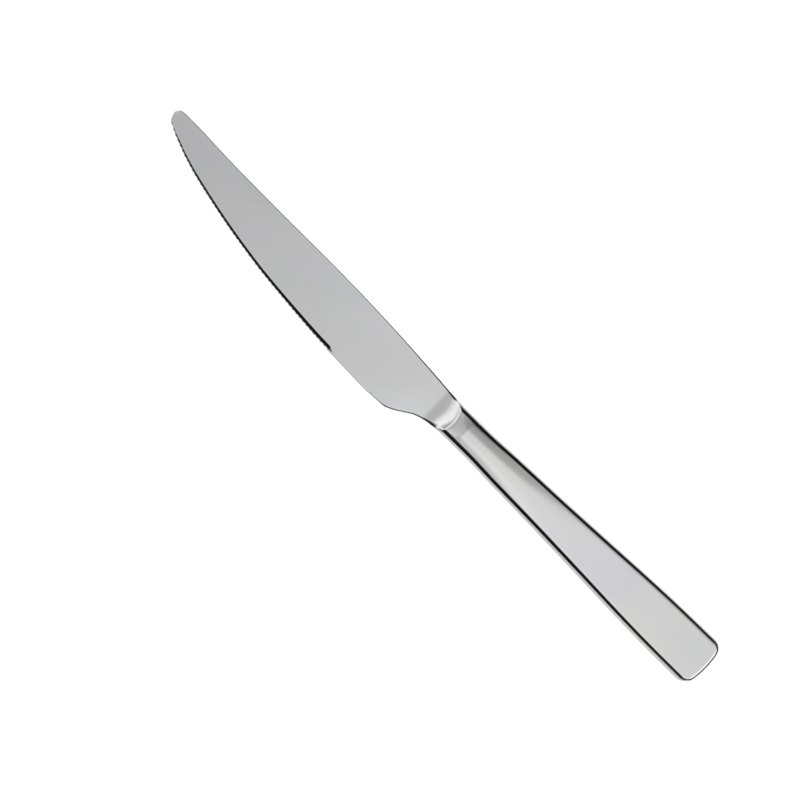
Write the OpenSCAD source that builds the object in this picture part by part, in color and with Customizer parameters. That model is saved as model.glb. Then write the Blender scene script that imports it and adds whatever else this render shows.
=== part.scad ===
// Table knife with a forged blade and a hollow handle of two stamped shells.
// The knife is drawn level, with x running from the tip to the butt, y from the cutting edge to the
// spine and z out of the front face. At the end it is tilted so that the back of its handle lies flat.

/* [Overall] */
// Length from the tip of the blade to the end of the handle
overall_len = 235; // [205:1:265]
// Length of the handle behind the bolster
handle_len = 102.7; // [90:0.1:115]

/* [Blade] */
// How far the spine rises above the side of the neck
spine_rise = 4.45; // [3:0.05:6]
// How far the belly hangs below the side of the neck
belly_drop = 6.8; // [5:0.1:9]
// Thickness of the spine at the heel
heel_thick = 2.2; // [1.6:0.1:2.8]
// Thickness of the spine at the tip
tip_thick = 1.2; // [0.9:0.1:1.6]
// Thickness of the lower margin, as a share of the spine's thickness
margin_share = 0.6; // [0.5:0.01:0.95]
// Radius that rounds the spine, the tip and the heel
edge_round = 0.3; // [0.15:0.01:0.4]

/* [Cutting edge] */
// Length of the ground and serrated edge
teeth_run = 82.8; // [60:0.1:95]
// Distance from tooth to tooth
tooth_pitch = 1.62; // [1.4:0.01:2.5]
// Depth of the hollow between two teeth
tooth_depth = 0.24; // [0.1:0.01:0.4]
// Width of the ground bevel at the tip
bevel_tip_w = 0.45; // [0.3:0.05:1]
// Width of the ground bevel near the heel
bevel_heel_w = 1.4; // [1:0.05:2]
// Length over which the bevel runs out behind the last tooth
bevel_run_out = 5; // [2:0.1:7]
// Thickness left at the very edge
edge_thick = 0.28; // [0.1:0.01:0.4]

/* [Bolster] */
// Width of the neck where the handle begins
neck_w = 10.66; // [9:0.02:13]
// Height of the neck where the handle begins
neck_h = 6; // [5:0.1:7.4]
// Length of the full height of the bolster in front of the handle
bolster_len = 3.9; // [2.5:0.1:6]
// Length of the hollow flank ground between blade and bolster
flank_len = 9.2; // [7.5:0.1:12]
// Radius that rounds the crest between flank and bolster
crest_round = 2.6; // [1:0.1:4]
// How far the crest bows towards the handle
crest_bow = 3.4; // [1:0.1:4]

/* [Handle] */
// Width of the handle near its butt
butt_w = 16.42; // [14:0.02:20]
// Height of the handle at its butt
butt_h = 8; // [7.4:0.1:10]
// Radius that rounds the long sides at the neck
neck_round = 1.9; // [1.4:0.05:2.2]
// Radius that rounds the long sides at the butt
side_round = 1.3; // [1:0.05:1.6]
// Radius that rounds the edge of the butt
butt_round = 0.6; // [0.4:0.05:0.9]
// Radius of the butt's corners seen from the front
butt_corner = 3.6; // [1.2:0.1:5]
// Radius of the bowed butt seen from the front
butt_bow = 30; // [14:0.1:40]
// Slope of the crowned face beside the rounded side at the neck, in degrees
crown_angle = 9; // [4:0.5:11]
// Wall of each shell
wall = 0.8; // [0.6:0.05:0.9]
// Thickness of the braze lines
braze_t = 0.15; // [0.1:0.01:0.3]
// Depth to which the back of the handle is lapped flat
lap_depth = 0.04; // [0.02:0.01:0.08]

/* [Tang and filler] */
// Length of the spigot that fills the mouth of the handle
spigot_len = 4; // [3:0.1:6]
// Clearance round the spigot
spigot_fit = 0.08; // [0.05:0.01:0.15]
// Length of the tang behind the spigot
tang_len = 56; // [40:1:66]
// Width of the tang at the spigot
tang_w = 6.4; // [5:0.1:7]
// Width of the tang at its end
tang_end_w = 4; // [3.4:0.1:5]
// Thickness of the tang
tang_t = 2.2; // [1.6:0.1:2.6]
// Number of notches down each side of the tang
notches = 5; // [3:1:6]
// Radius of a notch
notch_r = 0.9; // [0.6:0.05:1]
// Clearance round the filler and round the tang inside it
fill_fit = 0.04; // [0.02:0.01:0.1]
// Air left between the filler and the inside of the butt
fill_gap = 5; // [2:0.5:10]

/* [Hidden] */

// Outlines: how far along the blade, and how far out on that side of the neck
spine_shares = [
    [0, 0.6], [0.002, 0.745], [0.0055, 0.875], [0.0105, 0.968], [0.02, 1], [0.07, 0.985], [0.14, 0.885],
    [0.21, 0.808], [0.36, 0.745], [0.5, 0.715], [0.6, 0.65], [0.7, 0.525], [0.8, 0.345], [0.88, 0.175],
    [0.93, 0.05], [0.965, 0], [1, 0]
];
belly_shares = [
    [0, -1.87], [0.0015, -1.74], [0.005, -1.585], [0.0139, -1.43], [0.04, -1.165], [0.066, -0.96], [0.09, -0.78],
    [0.135, -0.509], [0.2, -0.2], [0.27, 0.09], [0.34, 0.33], [0.41, 0.53], [0.5, 0.71], [0.6, 0.877],
    [0.7, 0.965], [0.765, 1], [0.8, 0.975], [0.826, 0.935], [0.834, 0.87], [0.85, 0.72], [0.87, 0.475],
    [0.89, 0.253], [0.92, 0.095], [0.95, 0.02], [0.97, 0], [1, 0]
];
// Growth of the handle's width from neck to butt
width_shares = [
    [0, 0], [0.05, 0.005], [0.17, 0.165], [0.35, 0.35], [0.53, 0.6], [0.71, 0.87], [0.83, 0.98],
    [0.91, 1], [1, 1]
];
// Fading of the crowned face from neck to butt
crown_shares = [[0, 1], [0.12, 0.85], [0.3, 0.35], [0.5, 0.06], [0.65, 0], [1, 0]];
// Where the blade's lower margin stops being a blunt end and the cutting edge begins
edge_start_share = 0.0139;
// Stations along the blunt tip, the plain edge and the heel
tip_station_shares = [0, 0.0015, 0.0035, 0.0065, 0.0105];
plain_station_shares = [0.7, 0.73, 0.765, 0.8];
heel_station_shares = [0.82, 0.83, 0.838, 0.85, 0.862, 0.875, 0.89];
// Stations along the flank, from the flat of the blade to the bolster
flank_shares = [0, 0.2, 0.39, 0.56, 0.7, 0.81, 0.88, 0.93, 0.965, 1];

// Steps that share out the curves
ARC = 5;
COLS = 6;
SIDE_STEPS = 14;
CORNER_STEPS = 4;
BUTT_STEPS = 5;
TOOTH_STEPS = 4;
FILL_STEPS = 8;

blade_len = overall_len - handle_len;
edge_start = edge_start_share * blade_len;
teeth = round(teeth_run / tooth_pitch);
teeth_end = edge_start + teeth * tooth_pitch;
shell_start = blade_len + braze_t;
inner_round = 0.55 * wall;
bow_x = overall_len - butt_bow;
tilt = atan2((butt_h - neck_h) / 2, handle_len);
lift = neck_h / 2 * cos(tilt) - blade_len * sin(tilt) - lap_depth;
mid_x = overall_len / 2 * cos(tilt);
mid_y = (spine_rise - belly_drop) / 2;

// Smooth curve through a table of shares, with no overshoot between two rows
function row(t, x, i = 0) = i >= len(t) - 2 || x < t[i + 1][0] ? i : row(t, x, i + 1);
function step_x(t, i) = t[i + 1][0] - t[i][0];
function secant(t, i) = (t[i + 1][1] - t[i][1]) / step_x(t, i);
function mean_slope(a, b, ha, hb) =
    a * b <= 0 ? 0 : 3 * (ha + hb) / ((2 * hb + ha) / a + (ha + 2 * hb) / b);
function slope(t, i) =
    i == 0 ? secant(t, 0)
    : i == len(t) - 1 ? secant(t, i - 1)
    : mean_slope(secant(t, i - 1), secant(t, i), step_x(t, i - 1), step_x(t, i));
function flow(t, x) =
    let (i = row(t, x), h = step_x(t, i), s = (x - t[i][0]) / h)
    t[i][1] * (1 + 2 * s) * (1 - s) * (1 - s) + t[i + 1][1] * s * s * (3 - 2 * s)
    + h * (slope(t, i) * s * (1 - s) * (1 - s) - slope(t, i + 1) * s * s * (1 - s));
function mix(a, b, s) = a + (b - a) * s;
function clamp(s) = max(0, min(1, s));

// Sizes of the handle at a distance from the tip
function along(x) = (x - blade_len) / handle_len;
function half_w(x) = mix(neck_w, butt_w, flow(width_shares, clamp(along(x)))) / 2;
function half_h(x) = mix(neck_h, butt_h, along(x)) / 2;
function side_r(x) = mix(neck_round, side_round, clamp(along(x)));
function crown(x) = crown_angle * flow(crown_shares, clamp(along(x)));
function inner_r(r, in) = in > 0 ? max(r - in, inner_round) : r;

// Sizes of the blade at a distance from the tip
function spine_y(x) = neck_w / 2 + spine_rise * flow(spine_shares, x / blade_len);
function belly_y(x) = -neck_w / 2 - belly_drop * flow(belly_shares, x / blade_len);
function half_t(x) = mix(tip_thick, heel_thick, x / blade_len) / 2;
function plate_z(x, y) =
    half_t(x) * mix(1, margin_share, clamp((spine_y(x) - y) / (spine_y(x) - belly_y(x))));

// Half of a cross section, from the spine side over the front to the edge side, as
// [how far in from that side, height] for a solid of half width w and half height h
function side_point(k, r, b, w, h) =
    let (a = 90 - k / ARC * (90 - b), end_y = w - r * (1 - sin(b)))
    [r * (1 - sin(a)), h - r * (cos(b) - cos(a)) - end_y * tan(b) / 2];
function cap_y(j, r, b, w) = (w - r * (1 - sin(b))) * (1 - 2 * j / COLS);
function cap_drop(j, r, b, w) =
    (w - r * (1 - sin(b))) * tan(b) / 2 * pow(1 - 2 * j / COLS, 2);
function section(x, in) =
    let (w = half_w(x) - in, h = half_h(x) - in, b = crown(x), r = inner_r(side_r(x), in))
    concat(
        [for (k = [0:ARC]) let (p = side_point(k, r, b, w, h)) [w - p[0], p[1]]],
        [for (j = [1:COLS - 1]) [cap_y(j, r, b, w), h - cap_drop(j, r, b, w)]],
        [for (k = [ARC:-1:0]) let (p = side_point(k, r, b, w, h)) [p[0] - w, p[1]]]
    );
function flipped(list) = [for (i = [len(list) - 1:-1:0]) list[i]];
function closed(front) = concat(front, [for (p = flipped(front)) [p[0], -p[1]]]);

// Faces between two rings of points, and across the ends
function quad(a, b, c, d) = [[a, b, c], [a, c, d]];
function band(a, b, n) =
    [for (i = [0:n - 1]) for (f = quad(a + i, a + (i + 1) % n, b + (i + 1) % n, b + i)) f];
function strip(a, b) = [for (i = [0:len(a) - 2]) for (f = quad(a[i], a[i + 1], b[i + 1], b[i])) f];
function turned(faces) = [for (f = faces) flipped(f)];

// Outline of the handle seen from the front: [x, y, way out in x, way out in y, rounding, slope of crown]
function half_path(in, x0) =
    let (
        w = butt_w / 2 - in,
        r = butt_bow - in,
        c = in > 0 ? max(butt_corner - in, inner_round * (1 + ARC / 100)) : butt_corner,
        cx = bow_x + sqrt(pow(r - c, 2) - pow(w - c, 2)),
        turn = atan2(w - c, cx - bow_x)
    )
    concat(
        [for (i = [0:SIDE_STEPS])
            let (x = mix(x0, cx, i / SIDE_STEPS)) [x, half_w(x) - in, 0, 1, inner_r(side_r(x), in), crown(x)]],
        [for (i = [1:CORNER_STEPS])
            let (a = mix(90, turn, i / CORNER_STEPS), q = mix(side_round, butt_round, i / CORNER_STEPS))
            [cx + c * cos(a), w - c + c * sin(a), cos(a), sin(a), inner_r(q, in), 0]],
        [for (i = [1:BUTT_STEPS])
            let (a = mix(turn, 0, i / BUTT_STEPS))
            [bow_x + r * cos(a), r * sin(a), cos(a), sin(a), inner_r(butt_round, in), 0]]
    );
function full_path(half) =
    concat(half, [for (i = [len(half) - 2:-1:0]) let (p = half[i]) [p[0], -p[1], p[2], -p[3], p[4], p[5]]]);
function skin_point(p, k, in) =
    let (
        q = side_point(k, p[4], p[5], abs(p[1]), 0),
        x = p[0] - p[2] * q[0]
    )
    [x, p[1] - p[3] * q[0], half_h(x) - in + q[1]];
function cap_point(p, j, in) =
    let (
        d = p[4] * (1 - sin(p[5])),
        x = p[0] - p[2] * d,
        y = (p[1] - p[3] * d) * (1 - 2 * j / COLS)
    )
    [x, y, half_h(x) - in - cap_drop(j, p[4], p[5], p[1])];
function skin_points(in, x0) =
    let (half = half_path(in, x0), path = full_path(half))
    concat(
        [for (p = path) [p[0], p[1], braze_t / 2]],
        [for (k = [0:ARC]) for (p = path) skin_point(p, k, in)],
        [for (i = [0:len(half) - 2]) for (j = [1:COLS - 1]) cap_point(half[i], j, in)]
    );

// Numbering of the points of a skin
HALF = SIDE_STEPS + CORNER_STEPS + BUTT_STEPS + 1;
RING = 2 * HALF - 1;
TOP = (ARC + 1) * RING;
SKIN = TOP + RING + (HALF - 1) * (COLS - 1);
function cap_row(i) =
    concat([TOP + i], [for (j = [1:COLS - 1]) TOP + RING + i * (COLS - 1) + j - 1], [TOP + RING - 1 - i]);
function skin_faces() =
    concat(
        [for (k = [0:ARC]) for (i = [0:RING - 2])
            for (f = quad(k * RING + i, k * RING + i + 1, (k + 1) * RING + i + 1, (k + 1) * RING + i)) f],
        [for (i = [0:HALF - 3]) for (f = strip(cap_row(i + 1), cap_row(i))) f],
        [for (j = [0:COLS - 1]) let (a = cap_row(HALF - 2)) [a[j + 1], a[j], TOP + HALF - 1]]
    );
function mouth_row() =
    concat(
        [for (k = [0:ARC]) k * RING],
        cap_row(0),
        [for (k = [ARC:-1:0]) k * RING + RING - 1]
    );
function shifted(faces, n) = [for (f = faces) [for (i = f) i + n]];
module half_shell() {
    mouth = mouth_row();
    inner_mouth = [for (i = mouth) i + SKIN];
    rim = [for (i = [0:RING - 1]) i];
    inner_rim = [for (i = rim) i + SKIN];
    polyhedron(
        points = concat(skin_points(0, shell_start), skin_points(wall, shell_start)),
        faces = concat(
            skin_faces(),
            turned(shifted(skin_faces(), SKIN)),
            strip(mouth, inner_mouth),
            strip(inner_rim, rim)
        )
    );
}

// Blade: rings of ten points along the plate, and of full sections along the heel and the bolster
function corner_r(x) = min(edge_round, (spine_y(x) - belly_y(x)) / 4);
function bevel_w(x) = mix(bevel_tip_w, bevel_heel_w, clamp((x - edge_start) / (teeth_end - edge_start)));
function bevel_part(x) =
    x < edge_start ? 0 : x <= teeth_end ? 1 : clamp(1 - (x - teeth_end) / bevel_run_out);
function tooth_y(x) =
    x < edge_start || x > teeth_end ? 0
    : let (s = (x - edge_start) / tooth_pitch) tooth_depth * abs(sin(180 * s));
function plate_ring(x) =
    let (
        r = corner_r(x),
        top = spine_y(x),
        low = belly_y(x),
        t = half_t(x),
        m = plate_z(x, low),
        part = bevel_part(x),
        s = r * (1 - sqrt(1 / 2)),
        edge_low = low + tooth_y(x),
        shoulder = low + mix(r, bevel_w(x), part)
    )
    [
        [x, top, t - r], [x, top - s, t - s], [x, top - r, t],
        [x, shoulder, plate_z(x, shoulder)], [x, edge_low, mix(m - r, edge_thick - m, part)],
        [x, edge_low, mix(r - m, -m, part)], [x, low + r + tooth_y(x), -m],
        [x, top - r, -t], [x, top - s, s - t], [x, top, r - t]
    ];

// One front half of a full section across the plate, the flank or the bolster, from spine to edge
FRONT = 2 * ARC + COLS + 1;
FINE = 2 * FRONT;
function side_in(i, r, b) =
    let (k = i <= ARC ? i : FRONT - 1 - i) k > ARC ? r * (1 - sin(b)) : r * (1 - sin(90 - k / ARC * (90 - b)));
function across(i, in, top, low) =
    i <= ARC ? top - in
    : i >= FRONT - 1 - ARC ? low + in
    : mix(top - in, low + in, (i - ARC) / COLS);
function plate_height(i, x, y) =
    let (r = corner_r(x), k = i <= ARC ? i : FRONT - 1 - i)
    plate_z(x, y) - (k < ARC ? r * (1 - cos(90 - k / ARC * 90)) : 0);
function bolster_height(i, x) = section(x, 0)[i][1];
bolster_x = blade_len - bolster_len;
flank_x = bolster_x - flank_len;
function plate_point(i, x) =
    let (y = across(i, side_in(i, corner_r(x), 0), spine_y(x), belly_y(x))) [x, y, plate_height(i, x, y)];
function crest_x(i) =
    let (y = across(i, side_in(i, neck_round, crown_angle), neck_w / 2, -neck_w / 2))
    bolster_x - crest_bow * pow(2 * y / neck_w, 2);
// Height on two arcs that meet: the hollow flank, and the rounded crest at the end of its reach
function flank_rise(reach, total, rise) =
    let (
        steep = 2 * atan(rise / total),
        both_r = total / sin(steep),
        hollow_r = both_r - min(crest_round, both_r / 2)
    )
    reach <= hollow_r * sin(steep)
        ? hollow_r - sqrt(pow(hollow_r, 2) - pow(reach, 2))
        : rise - (both_r - hollow_r) + sqrt(pow(both_r - hollow_r, 2) - pow(total - reach, 2));
function flank_point(i, s) =
    let (
        p = plate_point(i, flank_x),
        top = bolster_height(i, crest_x(i)),
        total = crest_x(i) - flank_x,
        x = flank_x + s * total,
        in = mix(side_in(i, corner_r(x), 0), side_in(i, neck_round, crown_angle), s),
        z = top > p[2] ? p[2] + flank_rise(s * total, total, top - p[2]) : mix(p[2], top, s)
    )
    [x, across(i, in, spine_y(x), belly_y(x)), z];
function bolster_point(i, s) =
    let (x = mix(crest_x(i), blade_len, s))
    [x, across(i, side_in(i, neck_round, crown_angle), spine_y(x), belly_y(x)), bolster_height(i, x)];
function both_sides(front) = concat(front, [for (p = flipped(front)) [p[0], p[1], -p[2]]]);
function blade_stations() =
    concat(
        [for (s = tip_station_shares) s * blade_len],
        [for (i = [0:teeth * TOOTH_STEPS]) edge_start + i * tooth_pitch / TOOTH_STEPS],
        [for (s = [0.5, 1]) teeth_end + s * bevel_run_out],
        [for (s = plain_station_shares) if (s * blade_len > teeth_end + bevel_run_out * 1.1) s * blade_len]
    );
function fine_rings() =
    concat(
        [for (s = heel_station_shares) if (s * blade_len < 0.995 * flank_x)
            both_sides([for (i = [0:FRONT - 1]) plate_point(i, s * blade_len)])],
        [for (s = flank_shares) both_sides([for (i = [0:FRONT - 1]) flank_point(i, s)])],
        [for (s = [0.5, 1]) both_sides([for (i = [0:FRONT - 1]) bolster_point(i, s)])]
    );
// Which points of a full section each of the ten plate points runs into
MEET = [0, 2, ARC, ARC + COLS, FRONT - 1];
function meet(i) = i < 5 ? MEET[i] : FINE - 1 - MEET[9 - i];
function joining(a, b) =
    [for (i = [0:9])
        let (j = (i + 1) % 10, m = meet(i), n = meet(j) < m ? meet(j) + FINE : meet(j))
        for (f = concat(
            [for (k = [m:1:n - 1]) if (k < n) [a + i, b + (k + 1) % FINE, b + k % FINE]],
            [[a + i, a + j, b + n % FINE]]
        )) f];
module forging() {
    stations = blade_stations();
    rings = fine_rings();
    plates = len(stations);
    fine_at = 10 * plates;
    last = fine_at + (len(rings) - 1) * FINE;
    polyhedron(
        points = concat([for (x = stations) for (p = plate_ring(x)) p], [for (r = rings) for (p = r) p]),
        faces = concat(
            [[for (i = [9:-1:0]) i]],
            [for (n = [0:plates - 2]) for (f = turned(band(10 * n, 10 * (n + 1), 10))) f],
            joining(10 * (plates - 1), fine_at),
            [for (n = [0:len(rings) - 2]) for (f = turned(band(fine_at + n * FINE, fine_at + (n + 1) * FINE, FINE))) f],
            [[for (i = [0:FINE - 1]) last + i]]
        )
    );
}

// Turns a flat shape drawn in y and z into a slice that runs from x0 towards the butt
module slice(x0, length) {
    translate([x0, 0, 0]) rotate([90, 0, 90]) linear_extrude(height = length) children();
}

// Tang, grown on all sides by a clearance when it is used as a pocket
module tang(grow) {
    x0 = blade_len;
    x1 = shell_start + spigot_len + tang_len - tang_end_w / 2;
    linear_extrude(height = tang_t + 2 * grow, center = true) difference() {
        union() {
            polygon([
                [x0, tang_w / 2 + grow], [x1, tang_end_w / 2 + grow],
                [x1, -tang_end_w / 2 - grow], [x0, -tang_w / 2 - grow]
            ]);
            translate([x1, 0]) circle(r = tang_end_w / 2 + grow, $fn = 48);
        }
        for (i = [1:notches], side = [-1, 1]) {
            s = i / (notches + 1);
            x = mix(shell_start + spigot_len, x1, s);
            y = mix(tang_w, tang_end_w, (x - x0) / (x1 - x0)) / 2 + notch_r * 0.35;
            translate([x, side * y]) circle(r = notch_r - grow, $fn = 32);
        }
    }
}

// Filler that follows the inside of the handle, with flat ends
fill_x0 = shell_start + spigot_len + fill_fit;
fill_x1 = bow_x + sqrt(pow(butt_bow - wall, 2) - pow(butt_w / 2 - wall, 2)) - fill_gap;
module filler() {
    rings = [for (i = [0:FILL_STEPS])
        let (x = mix(fill_x0, fill_x1, i / FILL_STEPS)) [for (p = closed(section(x, wall + fill_fit))) [x, p[0], p[1]]]];
    polyhedron(
        points = [for (r = rings) for (p = r) p],
        faces = concat(
            [[for (i = [FINE - 1:-1:0]) i]],
            [for (n = [0:FILL_STEPS - 1]) for (f = turned(band(n * FINE, (n + 1) * FINE, FINE))) f],
            [[for (i = [0:FINE - 1]) FILL_STEPS * FINE + i]]
        )
    );
}

// Lays the level knife down with the back of its handle on the ground, its middle over the origin
module place() {
    translate([-mid_x, -mid_y, lift]) rotate([0, -tilt, 0]) children();
}

// Laps off what would reach below the ground, which leaves a true flat along the back of the handle
module lapped() {
    difference() {
        place() children();
        translate([-overall_len, -butt_w, -butt_h]) cube([2 * overall_len, 2 * butt_w, butt_h]);
    }
}

module blade() {
    color("silver") lapped() union() {
        forging();
        slice(blade_len - wall, wall + braze_t + spigot_len)
            polygon(closed(section(blade_len, wall + spigot_fit)));
        tang(0);
    }
}
module neck_braze() {
    color("gainsboro") lapped() slice(blade_len, braze_t) difference() {
        polygon(closed(section(blade_len, 0)));
        polygon(closed(section(blade_len, wall)));
    }
}
module front_shell() {
    color("lightgray") place() half_shell();
}
module back_shell() {
    color("darkgray") lapped() mirror([0, 0, 1]) half_shell();
}
module seam_braze() {
    outer = [for (p = full_path(half_path(0, shell_start))) [p[0], p[1]]];
    inner = [for (p = full_path(half_path(wall, shell_start))) [p[0], p[1]]];
    color("gainsboro") place() linear_extrude(height = braze_t, center = true)
        polygon(concat(outer, flipped(inner)));
}
module cement_fill() {
    color("tan") place() difference() {
        filler();
        tang(fill_fit);
    }
}

blade();
neck_braze();
front_shell();
back_shell();
seam_braze();
cement_fill();
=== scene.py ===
"""Looks of a stainless steel table knife with a hollow handle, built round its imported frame."""

import logging
import math
from dataclasses import dataclass, field
from enum import Enum

import bmesh
import bpy
from mathutils import Matrix, Vector


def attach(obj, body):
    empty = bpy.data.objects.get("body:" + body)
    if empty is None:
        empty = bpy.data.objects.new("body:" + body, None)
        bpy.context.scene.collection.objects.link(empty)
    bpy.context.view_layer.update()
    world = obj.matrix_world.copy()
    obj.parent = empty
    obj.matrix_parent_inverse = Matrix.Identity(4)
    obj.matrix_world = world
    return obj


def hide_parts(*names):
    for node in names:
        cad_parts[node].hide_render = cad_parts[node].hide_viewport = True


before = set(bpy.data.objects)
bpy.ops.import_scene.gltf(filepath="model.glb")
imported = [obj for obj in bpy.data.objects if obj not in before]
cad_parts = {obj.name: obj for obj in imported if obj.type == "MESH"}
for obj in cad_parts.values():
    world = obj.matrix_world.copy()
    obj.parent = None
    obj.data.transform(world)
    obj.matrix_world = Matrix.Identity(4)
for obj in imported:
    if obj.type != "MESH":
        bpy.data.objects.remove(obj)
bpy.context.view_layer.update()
MM = 0.001
WELD = 0.0005 * MM

logging.basicConfig(level=logging.INFO, format="%(message)s")
log = logging.getLogger("table_knife")

Shares = tuple[tuple[float, float], ...]

# Outlines: how far along the blade, and how far out on that side of the neck
SPINE_SHARES: Shares = (
    (0, 0.6), (0.002, 0.745), (0.0055, 0.875), (0.0105, 0.968), (0.02, 1), (0.07, 0.985), (0.14, 0.885),
    (0.21, 0.808), (0.36, 0.745), (0.5, 0.715), (0.6, 0.65), (0.7, 0.525), (0.8, 0.345), (0.88, 0.175),
    (0.93, 0.05), (0.965, 0), (1, 0),
)
BELLY_SHARES: Shares = (
    (0, -1.87), (0.0015, -1.74), (0.005, -1.585), (0.0139, -1.43), (0.04, -1.165), (0.066, -0.96),
    (0.09, -0.78), (0.135, -0.509), (0.2, -0.2), (0.27, 0.09), (0.34, 0.33), (0.41, 0.53), (0.5, 0.71),
    (0.6, 0.877), (0.7, 0.965), (0.765, 1), (0.8, 0.975), (0.826, 0.935), (0.834, 0.87), (0.85, 0.72),
    (0.87, 0.475), (0.89, 0.253), (0.92, 0.095), (0.95, 0.02), (0.97, 0), (1, 0),
)
# Growth of the handle's width, and fading of its crowned face, from neck to butt
WIDTH_SHARES: Shares = (
    (0, 0), (0.05, 0.005), (0.17, 0.165), (0.35, 0.35), (0.53, 0.6), (0.71, 0.87), (0.83, 0.98),
    (0.91, 1), (1, 1),
)
CROWN_SHARES: Shares = ((0, 1), (0.12, 0.88), (0.3, 0.4), (0.5, 0.06), (0.65, 0), (1, 0))
# Growth of the rim's rounding along the blade, and of the steep facet outside the ground bevel
ROUND_SHARES: Shares = ((0, 0), (0.55, 0), (0.75, 0.35), (0.9, 1), (1, 1))
FACET_SHARES: Shares = (
    (0, 0.45), (0.06, 0.58), (0.5, 0.6), (0.62, 0.85), (0.7, 1), (0.78, 0.9), (0.85, 0), (1, 0),
)
# Growth of the ground bevel's width along the toothed edge
BEVEL_SHARES: Shares = ((0, 0.2), (0.04, 0.42), (0.085, 0.58), (0.31, 0.7), (0.68, 0.84), (0.92, 1), (1, 1))


def mix(a, b, share: float):
    """Returns the number or point that lies share of the way from a to b."""
    return a + (b - a) * share


def clamp(share: float) -> float:
    """Returns share, held between 0 and 1."""
    return max(0.0, min(1.0, share))


def flow(table: Shares, x: float) -> float:
    """Smooth curve through a table of shares, with no overshoot between two rows.

    Args:
        table: Rows of place and value, in rising order of place.
        x: The place to read.

    Returns:
        The value at x.
    """
    last = len(table) - 2
    row = next((i for i in range(last) if x < table[i + 1][0]), last)

    def secant(i: int) -> float:
        """Returns the straight slope between rows i and i + 1."""
        return (table[i + 1][1] - table[i][1]) / (table[i + 1][0] - table[i][0])

    def slope(i: int) -> float:
        """Returns the curve's slope at row i."""
        if i in (0, last + 1):
            return secant(min(i, last))
        a, b = secant(i - 1), secant(i)
        if a * b <= 0:
            return 0.0
        ha, hb = table[i][0] - table[i - 1][0], table[i + 1][0] - table[i][0]
        return 3 * (ha + hb) / ((2 * hb + ha) / a + (ha + 2 * hb) / b)

    h = table[row + 1][0] - table[row][0]
    s = (x - table[row][0]) / h
    ends = table[row][1] * (1 + 2 * s) * (1 - s) ** 2 + table[row + 1][1] * s * s * (3 - 2 * s)
    return ends + h * (slope(row) * s * (1 - s) ** 2 - slope(row + 1) * s * s * (1 - s))


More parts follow.
